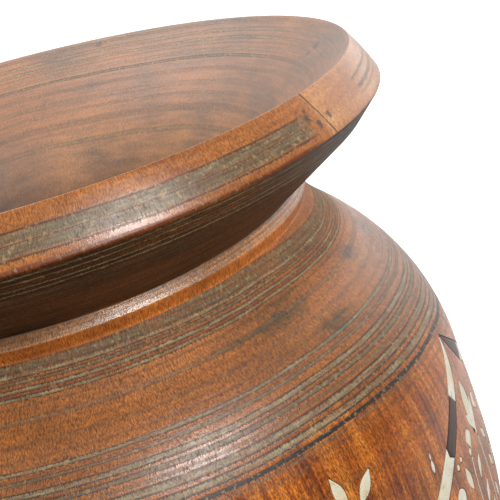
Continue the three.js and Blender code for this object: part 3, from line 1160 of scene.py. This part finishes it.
def copyRound(piece, name, arch):
    # a copy with its own mesh, one arch further round for each count
    copy = piece.copy()
    copy.data = piece.data.copy()
    copy.name = name
    scene.collection.objects.link(copy)
    copy.data.transform(Matrix.Rotation(2 * math.pi * arch / inlay["arches"], 4, "Z"))
    return copy


def rideAs(piece, slot, node=None):
    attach(piece, "root")
    if node:
        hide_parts(node)


slips = layLimb("left") + layLimb("right") + [(layLeaf(), "leaf", "bone")]
plantPiece = joinPieces("plant_1", layPlant())
flowerPiece = joinPieces("flower_1", layFlower())
cutter = joinPieces("pockets", cutters)
for arch in range(1, inlay["arches"]):
    for slip, node, kind in slips:
        copy = copyRound(slip, "inlaid_%d_%s" % (arch + 1, node), arch)
        rideAs(copy, kind, "arch_%d_%s" % (arch + 1, node))
    rideAs(copyRound(plantPiece, "plant_%d" % (arch + 1), arch), "bone")
    rideAs(copyRound(flowerPiece, "flower_%d" % (arch + 1), arch), "bone")
for slip, node, kind in slips:
    slip.name = "inlaid_1_" + node
    rideAs(slip, kind, "arch_1_" + node)
rideAs(plantPiece, "bone")
rideAs(flowerPiece, "bone")
print("inlay laid out")


def cutPockets():
    # the pockets' walls and floors show as dark mastic
    body.data.materials.append(mastic)
    for name in woodNames:
        cutter.data.materials.append(bpy.data.materials[name])
    cutter.data.materials.append(mastic)
    for face in cutter.data.polygons:
        face.material_index = len(woodNames)
    rounds = [cutter]
    rounds += [copyRound(cutter, "pockets_%d" % arch, arch) for arch in range(1, inlay["arches"])]
    whole = joinPieces("pockets", rounds)
    bpy.context.view_layer.objects.active = body
    body.select_set(True)
    cut = body.modifiers.new("pockets", "BOOLEAN")
    cut.operation = "DIFFERENCE"
    cut.solver = "MANIFOLD"
    cut.object = whole
    bpy.ops.object.modifier_apply(modifier="pockets")
    bpy.ops.object.shade_smooth_by_angle(angle=math.radians(pot["crispOver"]))
    body.select_set(False)
    bpy.data.objects.remove(whole)


cutPockets()
rideAs(body, "wood", "pot_body")
print("pockets cut,", len(body.data.polygons), "faces")

# Camera where the photograph was taken from
view = {
    "place": (0, -0.34017, 0.33395), "lens": 72, "sensor": 36,
    "yaw": 11.36, "pitch": -21.77, "roll": -13.90,
}


def addCamera():
    yaw, pitch, roll = (math.radians(view[key]) for key in ("yaw", "pitch", "roll"))
    forward = Vector((math.sin(yaw) * math.cos(pitch), math.cos(yaw) * math.cos(pitch), math.sin(pitch)))
    level = Vector((math.cos(yaw), -math.sin(yaw), 0))
    upright = level.cross(forward)
    right = math.cos(roll) * level + math.sin(roll) * upright
    up = -math.sin(roll) * level + math.cos(roll) * upright
    bpy.ops.object.camera_add(location=view["place"])
    camera = bpy.context.object
    camera.rotation_euler = Matrix((right, up, -forward)).transposed().to_euler()
    camera.data.lens = view["lens"]
    camera.data.sensor_width = view["sensor"]
    camera.data.clip_start = 0.01
    scene.camera = camera


addCamera()

# White studio, in metres. A lamp is azimuth and height in degrees, distance, size and power. What the
# pot's gloss reflects is set apart from what the camera sees. Pairs are where a glow starts and is full.
studio = {
    "target": (0, 0, 0.22),
    "lamps": {
        "key": (-65, 36.5, 2.5, (0.8, 0.55), 42),
        "top": (140, 62, 2.0, (1.8, 1.4), 16),
        "side": (38, 16, 2.2, (1.8, 1.2), 4),
    },
    "ambient": 0.28,
    "floorSize": 12,
    "floorLevel": -0.0001,
    "floorColor": 0.80,
    "floorColorInBounce": 0.15,
    "floorGlow": 0.80,
    "floorGlowInGloss": (0.02, 0.80),
    "floorGlowDepths": (-0.35, 0.0),
    "floorGlowRadii": (0.15, 0.35),
    "skyInGloss": (0.20, 0.95),
    "skyHeights": (0.10, 0.40),
    "skyDepths": (-0.05, 0.25),
    "backdropInGloss": 0.55,
    "backdropDepths": (-0.15, 0.20),
}


def addLamp(name, azimuth, height, distance, size, power):
    a, h = math.radians(azimuth), math.radians(height)
    target = Vector(studio["target"])
    spot = target + distance * Vector((math.cos(a) * math.cos(h), math.sin(a) * math.cos(h), math.sin(h)))
    bpy.ops.object.light_add(type="AREA", location=spot)
    lamp = bpy.context.object
    lamp.name = name
    lamp.data.shape = "RECTANGLE"
    lamp.data.size, lamp.data.size_y = size
    lamp.data.energy = power
    lamp.rotation_euler = (target - spot).to_track_quat("-Z", "Y").to_euler()


def addFloor():
    bpy.ops.mesh.primitive_plane_add(size=studio["floorSize"], location=(0, 0, studio["floorLevel"]))
    floor = bpy.context.object
    floor.name = "floor"
    material, tree, shader = startMaterial("pale floor")
    shader.inputs["Roughness"].default_value = 0.8
    shader.inputs["Emission Color"].default_value = (1, 1, 1, 1)
    path = addNode(tree, "LightPath").outputs
    bounce, seenColor = studio["floorColorInBounce"], studio["floorColor"]
    tone = scaleRange(tree, path["Is Camera Ray"], 0, 1, bounce, seenColor)
    feed(tree, shader.inputs["Base Color"], grey(tree, tone))
    # in the pot's gloss the floor behind it is lit, and the floor in front of it isn't
    x, y = separate(tree, objectSpot(tree))[:2]
    behind = scaleRange(tree, y, *studio["floorGlowDepths"])
    clear = scaleRange(tree, hypotenuse(tree, x, y), *studio["floorGlowRadii"])
    least, most = studio["floorGlowInGloss"]
    sheen = total(tree, least, product(tree, behind, clear, most))
    feed(tree, shader.inputs["Emission Strength"], total(
        tree, product(tree, path["Is Camera Ray"], studio["floorGlow"]),
        product(tree, path["Is Glossy Ray"], sheen),
        product(tree, path["Is Transmission Ray"], studio["floorGlow"]),
    ))
    floor.data.materials.append(material)


def addSky():
    world = bpy.data.worlds.new("studio")
    scene.world = world
    world.use_nodes = True
    tree = world.node_tree
    path = addNode(tree, "LightPath").outputs
    seen = calc(tree, "MAXIMUM", path["Is Camera Ray"], path["Is Transmission Ray"])
    y, z = separate(tree, addNode(tree, "TexCoord").outputs["Generated"])[1:]
    front = scaleRange(tree, z, *studio["skyHeights"], *studio["skyInGloss"])
    back = scaleRange(tree, y, *studio["skyDepths"])
    rise = minus(tree, studio["skyInGloss"][1], front)
    level = total(tree, front, product(tree, back, rise))
    behind = scaleRange(tree, y, *studio["backdropDepths"])
    backdrop = product(tree, behind, studio["backdropInGloss"])
    glossy = product(tree, path["Is Glossy Ray"], total(tree, level, backdrop))
    other = minus(tree, 1.0, calc(tree, "MAXIMUM", seen, path["Is Glossy Ray"]))
    lit = product(tree, other, studio["ambient"])
    background = tree.nodes["Background"]
    background.inputs["Color"].default_value = (1, 1, 1, 1)
    feed(tree, background.inputs["Strength"], total(tree, seen, glossy, lit))


for name, lamp in studio["lamps"].items():
    addLamp(name, *lamp)
addFloor()
addSky()
scene.view_settings.view_transform = "Standard"
print("studio lit")
